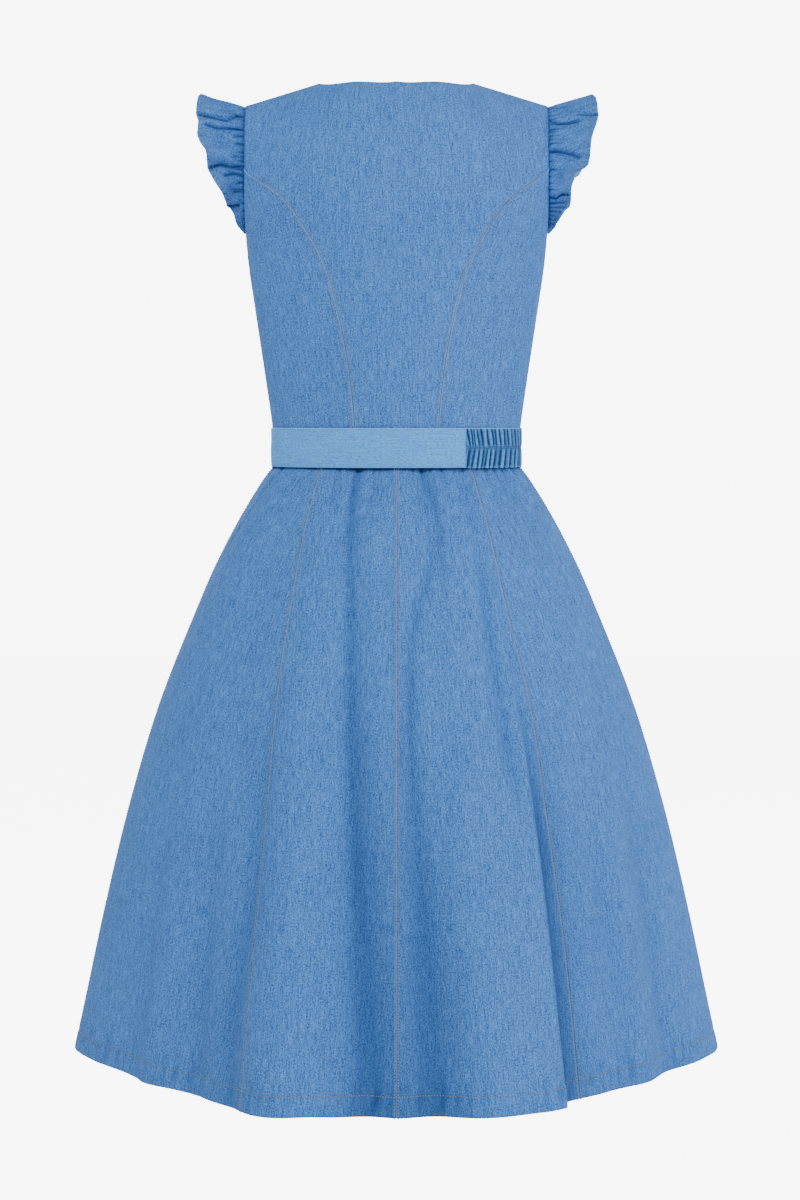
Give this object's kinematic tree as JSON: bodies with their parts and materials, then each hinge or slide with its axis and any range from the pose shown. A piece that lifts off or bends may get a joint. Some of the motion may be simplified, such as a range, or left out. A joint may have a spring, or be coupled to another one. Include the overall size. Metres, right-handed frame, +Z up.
{
  "type": "dirndl dress with its own belt",
  "caption": "Sleeveless blue denim dirndl with fitted princess bodice, gathered gored skirt, ruffle caps at the armholes and a cloth belt, shown filled out as if worn.",
  "frame": {"origin": "midway between the two shoulder seams, where the wearer's shoulders carry the dress", "axes": "+Z up along the wearer's spine, +Y out of the wearer's back, +X to the wearer's left"},
  "size_m": [0.7062, 0.5983, 1.0602],
  "materials": {
    "denim": "light blue chambray denim with slubs, tan topstitching",
    "belt_cloth": "lighter blue denim along the grain, slight sheen",
    "topstitch": "tan sewing thread"
  },
  "bodies": {
    "root": {"bodice_back": "denim", "bodice_side_back_left": "denim", "bodice_side_back_right": "denim", "bodice_front": "denim", "bodice_side_front_left": "denim", "bodice_side_front_right": "denim", "skirt_back_left": "denim", "skirt_side_back_left": "denim", "skirt_side_front_left": "denim", "skirt_front": "denim", "skirt_side_front_right": "denim", "skirt_side_back_right": "denim", "skirt_back_right": "denim", "ruffle_left": "denim", "ruffle_right": "denim", "belt_band": "belt_cloth", "belt_elastic": "belt_cloth", "belt_front_end": "belt_cloth"}
  },
  "joints": []
}
